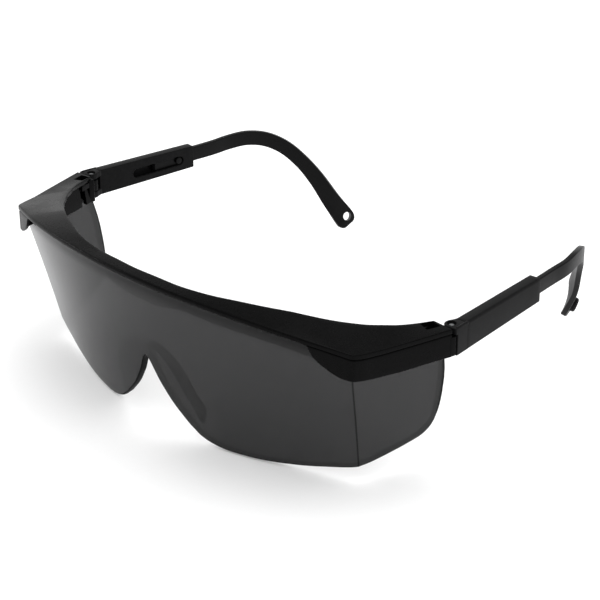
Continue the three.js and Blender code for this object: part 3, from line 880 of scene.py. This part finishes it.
def build_sleeve():
    tube = sleeve_tube("sleeve", 2.75, SLEEVE_END, SLEEVE_IN, SLEEVE_OUT, [0.85, 0.3, 0.3, 0.35])
    cheek = sleeve_tube("cheek", -1.62, 3.6, 2.35, SLEEVE_OUT - 0.008, [0.42, 0.28, 0.28, 0.28])
    # hinge ears above and below the knuckle
    front = -2.35
    upper = [
        (SLEEVE_OUT - 0.015, front), (SLEEVE_OUT - 0.015, 3.4), (SLEEVE_IN, 3.4), (-1.0, 2.2),
        (-1.75, 0.9), (-1.9, -0.2), (-1.65, front + 1.15), (-0.9, front + 0.35), (0.2, front)]
    upper_ear = rounded_slab("ear", upper, [0.36, 0, 0, 0.8, 0.9, 0.9, 0.8, 0.5, 0.5],
                             low=-1.9, high=-0.06, edge=0.22, place=toed)
    lower = [
        (SLEEVE_OUT - 0.021, -1.60), (SLEEVE_OUT - 0.021, 3.43), (SLEEVE_IN, 3.4), (-1.0, 2.2),
        (-1.75, 0.9), (-1.98, -0.2), (-1.6, -1.2), (-0.8, -1.83), (0.3, -1.97), (1.2, -1.62)]
    lower_ear = rounded_slab("ear2", lower, [0.36, 0, 0, 0.8, 0.9, 0.9, 0.6, 0.5, 0.5, 0.5],
                             low=-8.1, high=-6.05, edge=0.22, place=toed)
    cut_shells([tube, cheek, upper_ear, lower_ear], turned("bore", BORE, toed))
    # countersink around the pin head
    sink = [(0, -0.62), (1.35, -0.62), (1.35, -0.12), (1.5, 0.1), (1.5, 1), (0, 1)]
    cut_shells([tube, cheek, upper_ear], turned("sink", sink, toed, count=48))
    boolean(tube, channel_cutter(), "DIFFERENCE")
    boolean(tube, detent_cutter(), "DIFFERENCE")
    ob = join([tube, cheek, upper_ear, lower_ear], "sleeve_shell_left")
    return tidy(ob, weld=0.012, crease=30)


# ------------------------------------------------------------------ temple tip
# Centre line and half height: the straight bar by its temple y, then points of the bent part.
TIP_PATH = [(toed((BAR_X, y, BAR_Z)), half)
            for y, half in ((24.0, 2.36), (32, 2.36), (40, 2.36), (48.4, 2.38))]
TIP_PATH += [
    ((70.15, 57.0, -3.95), 2.4), ((68.45, 63.5, -3.9), 2.4), ((65.75, 69.6, -5.3), 2.4),
    ((62.3, 75.0, -8.7), 2.4), ((58.6, 79.6, -14.2), 2.45), ((55.2, 83.3, -20.6), 2.7),
    ((51.4, 86.6, -28.4), 3.1), ((48.1, 89.9, -35.3), 3.55), ((47.2, 91.0, -37.7), 3.5)]
TIP_T = 1.8
CORD_HOLE = Vector((47.95, 90.7, -34.7))
CORD_AXIS = Vector((0.899, 0.349, -0.263)).normalized()        # towards the outer face


def end_rounding(distance, length):
    """Circular closing over the last length before an end: 1 at the end, 0 beyond length."""
    if distance >= length:
        return 0
    share = 1 - distance / length
    return 1 - math.sqrt(1 - share * share)


def tip_body():
    spans = len(TIP_PATH) - 1
    path = Spline([point for point, _ in TIP_PATH])
    half_heights = flat_spline([(k / spans, half) for k, (_, half) in enumerate(TIP_PATH)])
    rings = []
    count = 170
    for i in range(count + 1):
        share = i / count
        centre, tangent = path.at(share), path.tangent(share)
        across = tangent.cross(Vector((0, 0, 1))).normalized()
        upward = across.cross(tangent).normalized()
        # the paddle turns its outer face forwards
        turn = Matrix.Rotation(math.radians(28) * smooth((share - 0.80) / 0.13), 3, tangent)
        across, upward = turn @ across, turn @ upward
        # rough distances to the ends, at 3.1 and 8 mm per span
        to_rear, to_front = (1 - share) * spans * 3.1, share * spans * 8
        inset = 0.5 * end_rounding(min(to_rear, to_front), 0.6)
        thickness = TIP_T - 2 * inset
        half = half_heights.at(share).y - inset
        half -= 2.3 * end_rounding(to_rear, 3.0)               # wide round end of the paddle
        outline = round_rect(thickness, 2 * half, min(0.34, thickness / 2 - 0.02), 5)
        rings.append([tuple(centre + across * a + upward * b) for a, b in outline])
    return loft("tip", rings)


def at_stud(point):
    return toed((0.42 - point[2], 33.55 + point[0], DETENT_Z + point[1]))


def at_cord_hole(point):
    side = CORD_AXIS.cross(Vector((0, 0, 1))).normalized()
    up = side.cross(CORD_AXIS).normalized()
    return tuple(CORD_HOLE + side * point[0] + up * point[1] + CORD_AXIS * point[2])


def build_tip():
    ob = tip_body()
    stud = [(0, -0.8), (1.15, -0.8), (1.15, 0.62), (1.05, 0.75), (0.8, 0.8), (0, 0.8)]
    boolean(ob, turned("stud", stud, at_stud, count=36), "UNION")
    # the outer face carries a low dished boss around the cord hole
    boss = [(0, -0.2), (2.2, -0.2), (2.35, 0.9), (2.3, 1.9), (2.1, 2.25), (1.8, 2.35), (0, 2.35)]
    boolean(ob, turned("boss", boss, at_cord_hole, count=44), "UNION")
    hole = [(0, -6), (2.1, -6), (2.1, -1.5), (1.5, -0.62), (1.5, 1.1), (1.95, 2.4), (1.95, 6),
            (0, 6)]
    boolean(ob, turned("hole", hole, at_cord_hole), "DIFFERENCE")
    ob.name = ob.data.name = "tip_left"
    return tidy(ob, weld=0.01, crease=30)


# ------------------------------------------------------------------ hinge pin
def build_pin():
    profile = [(0, -7.75), (0.72, -7.75), (0.8, -7.65), (0.8, -0.74), (0.74, -0.60),
               (0.62, -0.50), (0.5, -0.45), (0.3, -0.43), (0, -0.42)]
    return tidy(turned("pin_left", profile, at_hinge, count=48), weld=0.004, crease=30)


# ------------------------------------------------------------------ shader building
class Graph:
    """A cleared node tree. Inputs are given by socket, as a value or as a socket to link."""

    def __init__(self, owner):
        owner.use_nodes = True
        self.tree = owner.node_tree
        self.tree.nodes.clear()

    def add(self, kind, inputs, output=0, **settings):
        node = self.tree.nodes.new(kind)
        for key, value in settings.items():
            setattr(node, key, value)
        for key, value in inputs.items():
            if isinstance(value, bpy.types.NodeSocket):
                self.tree.links.new(value, node.inputs[key])
            else:
                node.inputs[key].default_value = value
        return node.outputs[output]

    def finish(self, kind, surface):
        self.tree.links.new(surface, self.tree.nodes.new(kind).inputs["Surface"])

    def coordinates(self, output="Object"):
        return self.add("ShaderNodeTexCoord", {}, output)

    def glossy_ray(self):
        return self.add("ShaderNodeLightPath", {}, "Is Glossy Ray")

    def math(self, operation, *values):
        return self.add("ShaderNodeMath", dict(enumerate(values)), operation=operation)

    def scaled(self, value, factor, plus=None):
        """value * factor, with plus added where it is given."""
        if plus is None:
            return self.math("MULTIPLY", value, factor)
        return self.math("MULTIPLY_ADD", value, factor, plus)

    def ramp(self, value, source, result=(0, 1)):
        """Maps the source range to the result range, clamped."""
        return self.add("ShaderNodeMapRange", {
            "Value": value, "From Min": source[0], "From Max": source[1],
            "To Min": result[0], "To Max": result[1]}, "Result", clamp=True)

    def noise(self, vector, scale, detail, roughness=0.55):
        return self.add("ShaderNodeTexNoise", {
            "Scale": scale, "Detail": detail, "Roughness": roughness, "Vector": vector}, "Fac")

    def stretched(self, vector, scale, rotation):
        return self.add("ShaderNodeMapping", {
            "Scale": scale, "Rotation": rotation, "Vector": vector}, "Vector")

    def hairlines(self, vector, detail, roughness, families):
        """Two families of fine lines, each (stretch, rotation, noise range of a line's flank)."""
        lines = []
        for stretch, rotation, flank in families:
            streaks = self.noise(self.stretched(vector, stretch, rotation), 1.0, detail, roughness)
            lines.append(self.ramp(streaks, flank))
        return self.math("MAXIMUM", *lines)

    def mix_colour(self, factor, first, second):
        return self.add("ShaderNodeMix", {"Factor": factor, "A": first, "B": second}, "Result",
                        data_type="RGBA")

    def mix_shader(self, factor, first, second):
        return self.add("ShaderNodeMixShader", {0: factor, 1: first, 2: second})

    def combine(self, red, green, blue):
        return self.add("ShaderNodeCombineColor", {0: red, 1: green, 2: blue})

    def bump(self, height, strength, distance):
        return self.add("ShaderNodeBump", {
            "Strength": strength, "Distance": distance, "Height": height}, "Normal")


def new_material(name):
    material = bpy.data.materials.new(name)
    return material, Graph(material)


# ------------------------------------------------------------------ materials
def nylon(name, base, roughness, specular, grain, wear):
    """Black moulded nylon: fine grain, uneven gloss, hairline rubs and polished edges."""
    material, graph = new_material(name)
    place = graph.coordinates()
    cloud = graph.noise(place, scale=120, detail=4)
    fine = graph.noise(place, scale=5200, detail=2)
    mottle = graph.noise(place, scale=900, detail=3)
    rubs = graph.hairlines(place, detail=3, roughness=0.7, families=(
        ((240, 3200, 3200), (0.2, 0.35, 0.6), (0.66, 0.74)),
        ((3000, 200, 2600), (0.1, 0.0, -0.25), (0.68, 0.76))))
    point = graph.add("ShaderNodeNewGeometry", {}, "Pointiness")
    edge = graph.ramp(point, source=(0.51, 0.60))
    # broad unevenness and mottling, rougher rub marks, smoother edges
    rough = graph.math(
        "ADD",
        graph.ramp(cloud, source=(0.3, 0.7), result=(roughness - 0.05, roughness + 0.05)),
        graph.ramp(mottle, source=(0.3, 0.7), result=(-0.025, 0.025)))
    rough = graph.scaled(rubs, 0.10, plus=rough)
    rough = graph.scaled(edge, -0.08 * wear, plus=rough)
    # mottling and worn edges are lighter
    mottle_light = graph.scaled(graph.ramp(mottle, source=(0.35, 0.7)), 0.35)
    colour = graph.mix_colour(
        graph.scaled(edge, 0.5 * wear, plus=mottle_light),
        first=(base, base, base * 1.04, 1), second=(base * 2.4, base * 2.4, base * 2.5, 1))
    height = graph.math("ADD", graph.scaled(fine, 0.6), graph.scaled(mottle, 0.5))
    height = graph.scaled(rubs, -0.15, plus=height)
    graph.finish("ShaderNodeOutputMaterial", graph.add("ShaderNodeBsdfPrincipled", {
        "IOR": 1.5, "Specular IOR Level": specular, "Roughness": rough, "Base Color": colour,
        "Normal": graph.bump(height, strength=grain, distance=0.00003)}))
    return material


def smoke(name):
    """Smoke-tinted hard-coated polycarbonate: each surface takes its share of the tint."""
    material, graph = new_material(name)
    place = graph.coordinates()
    cloud = graph.noise(place, scale=60, detail=3)
    haze = graph.noise(place, scale=700, detail=4)
    scratches = graph.hairlines(place, detail=2, roughness=0.6, families=(
        ((260, 5200, 5200), (0.5, 0.1, 0.9), (0.71, 0.76)),
        ((4600, 5200, 220), (0.2, 0.3, 0.2), (0.72, 0.77))))
    arch, rim, below_brow_shade = [graph.add("ShaderNodeAttribute", {}, "Fac", attribute_name=key)
                       for key in ("arch", "rim", "below_brow_shade")]
    # painted shade: edges and folds are darkened in see-through and in reflection, standing in for
    # the dark lines that refraction draws there; the strip below the brow gets painted shade in its
    # reflection
    body = graph.scaled(rim, -0.78, plus=1.0)
    # painted shade: the reflection fades to 0.42 towards the brow
    shade = graph.ramp(below_brow_shade, source=(0.0, 1.0), result=(0.42, 1.0))
    tint = graph.ramp(cloud, source=(0.3, 0.7), result=(0.131, 0.140))
    tint = graph.scaled(tint, graph.scaled(arch, -0.10, plus=1.0))
    # the painted edge shade darkens what is seen through the lens
    tint = graph.scaled(tint, body)
    clear = graph.add("ShaderNodeBsdfTransparent", {
        "Color": graph.combine(tint, tint, graph.scaled(tint, 1.01))})
    # reflection strength, darkened by the painted edge shade, by the painted shade below the brow and
    # a little over the nose arch
    lit = graph.scaled(graph.scaled(body, shade), graph.scaled(arch, -0.08, plus=1.0))
    polish = graph.ramp(haze, source=(0.3, 0.75), result=(0.02, 0.06))
    height = graph.scaled(scratches, -0.6, plus=graph.scaled(cloud, 0.5))
    gloss = graph.add("ShaderNodeBsdfGlossy", {
        "Color": graph.combine(lit, lit, lit),
        "Roughness": graph.scaled(scratches, 0.12, plus=polish),
        "Normal": graph.bump(height, strength=0.12, distance=0.00002)})
    # the reflection grows towards grazing
    facing = graph.add("ShaderNodeLayerWeight", {"Blend": 0.5}, "Facing")
    reflection = graph.scaled(graph.math("POWER", facing, 5.0), 0.9, plus=0.049)
    coated = graph.mix_shader(reflection, clear, gloss)
    # a trace of scatter from dust and haze on the coating
    dust = graph.add("ShaderNodeBsdfDiffuse", {"Color": (0.03, 0.03, 0.031, 1)})
    film = graph.ramp(haze, source=(0.35, 0.75), result=(0.01, 0.05))
    dusty = graph.mix_shader(graph.scaled(scratches, 0.06, plus=film), coated, dust)
    graph.finish("ShaderNodeOutputMaterial", dusty)
    return material


def steel(name):
    """Bright, lightly brushed steel."""
    material, graph = new_material(name)
    place = graph.coordinates()
    brushed = graph.stretched(place, scale=(9000, 1500, 1500), rotation=(0, 0, 0.4))
    brushing = graph.noise(brushed, scale=1.0, detail=3)
    spots = graph.noise(place, scale=1400, detail=4)
    graph.finish("ShaderNodeOutputMaterial", graph.add("ShaderNodeBsdfPrincipled", {
        "Metallic": 1.0,
        "Roughness": graph.ramp(brushing, source=(0.3, 0.7), result=(0.24, 0.42)),
        "Base Color": graph.mix_colour(graph.ramp(spots, source=(0.4, 0.7)),
                                       first=(0.42, 0.43, 0.44, 1),
                                       second=(0.27, 0.28, 0.29, 1)),
        "Normal": graph.bump(brushing, strength=0.3, distance=0.00001)}))
    return material


def paper(name):
    """White sheet; in reflections it is darker, so that the black parts keep their depth."""
    material, graph = new_material(name)
    grain = graph.noise(graph.coordinates(), scale=900, detail=4)
    white = graph.mix_colour(grain, first=(0.93, 0.93, 0.93, 1), second=(0.96, 0.96, 0.96, 1))
    seen = graph.add("ShaderNodeBsdfDiffuse", {"Color": white})
    reflected = graph.add("ShaderNodeBsdfDiffuse", {"Color": (0.64, 0.64, 0.645, 1)})
    graph.finish("ShaderNodeOutputMaterial",
                 graph.mix_shader(graph.glossy_ray(), seen, reflected))
    return material


# ------------------------------------------------------------------ assembly
def pair(left, right_name):
    right = mirror_copy(left, right_name)
    right.data.set_sharp_from_angle(angle=math.radians(30))
    return left, right


def dress(ob, material, body, cad):
    ob.data.materials.clear()
    ob.data.materials.append(material)
    for face in ob.data.polygons:
        face.material_index = 0
    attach(ob, body)
    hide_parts(cad)


frame_black = nylon("frame_black", base=0.0012, roughness=0.27, specular=0.075, grain=0.28, wear=0.5)
sleeve_black = nylon("sleeve_black", base=0.0050, roughness=0.34, specular=0.070, grain=0.36,
                     wear=0.6)
tip_black = nylon("tip_black", base=0.0016, roughness=0.32, specular=0.15, grain=0.28, wear=0.7)
smoke_grey = smoke("smoke_grey")
pin_steel = steel("pin_steel")

brow = build_frame()
lens = build_lens()
sleeves = pair(build_sleeve(), "sleeve_shell_right")
tips = pair(build_tip(), "tip_right")
pins = pair(build_pin(), "pin_right")

dress(brow, frame_black, "frame", "brow_frame")
dress(lens, smoke_grey, "frame", "lens")
for side, ob in zip(("left", "right"), pins):
    dress(ob, pin_steel, "frame", "hinge_pin_" + side)
for side, ob in zip(("left", "right"), sleeves):
    dress(ob, sleeve_black, "sleeve_" + side, "temple_sleeve_" + side)
for side, ob in zip(("left", "right"), tips):
    dress(ob, tip_black, "tip_" + side, "temple_tip_" + side)


# ------------------------------------------------------------------ stage, in metres
def build_floor():
    half, cells, height = 3.0, 24, -0.0004
    ticks = [-half + 2 * half * i / cells for i in range(cells + 1)]
    verts = [(x, y, height) for y in ticks for x in ticks]
    faces = []
    for j in range(cells):
        for i in range(cells):
            near = j * (cells + 1) + i
            far = (j + 1) * (cells + 1) + i
            faces.append((near, near + 1, far + 1, far))
    mesh = bpy.data.meshes.new("floor")
    mesh.from_pydata(verts, [], faces)
    ob = add_object("floor", mesh)
    mesh.materials.append(paper("paper"))


def build_world():
    """A white tent whose walls glow near the horizon and fall off overhead in reflections."""
    world = bpy.data.worlds.new("studio")
    bpy.context.scene.world = world
    graph = Graph(world)
    height = graph.add("ShaderNodeSeparateXYZ", {0: graph.coordinates("Generated")}, "Z")
    reflected = graph.ramp(height, source=(0.12, 0.5), result=(0.95, 0.34))
    strength = graph.add("ShaderNodeMix", {
        "Factor": graph.glossy_ray(), "A": 1.30, "B": reflected}, "Result")
    graph.finish("ShaderNodeOutputWorld", graph.add("ShaderNodeBackground", {
        "Strength": strength, "Color": (1, 1, 1, 1)}))


def lamp(name, at, aim, power, size, width=None, along=None):
    """Square area light, or a strip of the given width with its long side along a direction."""
    light = bpy.data.lights.new(name, "AREA")
    light.energy = power
    light.size = size
    ob = add_object(name, light)
    ob.location = Vector(at)
    back = Vector(at) - Vector(aim)
    if along:
        light.shape = "RECTANGLE"
        light.size_y = width
        z = back.normalized()
        x = (Vector(along) - z * z.dot(Vector(along))).normalized()
        ob.rotation_euler = Matrix((x, z.cross(x), z)).transposed().to_euler()
    else:
        ob.rotation_euler = (-back).to_track_quat("-Z", "Y").to_euler()


def build_camera():
    """Camera to the left of the front and above, looking at a target in the working frame."""
    azimuth, elevation = math.radians(44.98), math.radians(26.245)
    roll = math.radians(-0.262)
    target, distance = Vector((24.711, -4.869, -8.176)), 522.325
    back = Vector((math.sin(azimuth) * math.cos(elevation),
                   -math.cos(azimuth) * math.cos(elevation), math.sin(elevation)))
    level = Vector((math.cos(azimuth), math.sin(azimuth), 0))
    upright = back.cross(level)
    right = level * math.cos(roll) + upright * math.sin(roll)
    up = upright * math.cos(roll) - level * math.sin(roll)
    camera = bpy.data.cameras.new("camera")
    camera.lens = 111.71
    camera.sensor_width = 36
    camera.clip_start, camera.clip_end = 0.01, 20
    ob = add_object("camera", camera)
    turn = Matrix((right, up, back)).transposed().to_4x4()
    ob.matrix_world = Matrix.Translation(to_row(target + back * distance)) @ turn
    bpy.context.scene.camera = ob


build_floor()
build_world()
lamp("strip", at=(-1.06, -0.34, 0.58), aim=(-0.033, -0.06, 0.045), power=1.4,
     size=0.46, width=0.03, along=(0.49, -0.61, 0.61))
lamp("top", at=(0.0, 0.25, 1.1), aim=(0, 0, 0.02), power=2.0, size=0.7)
build_camera()
bpy.context.scene.view_settings.view_transform = "Standard"

bpy.context.view_layer.update()
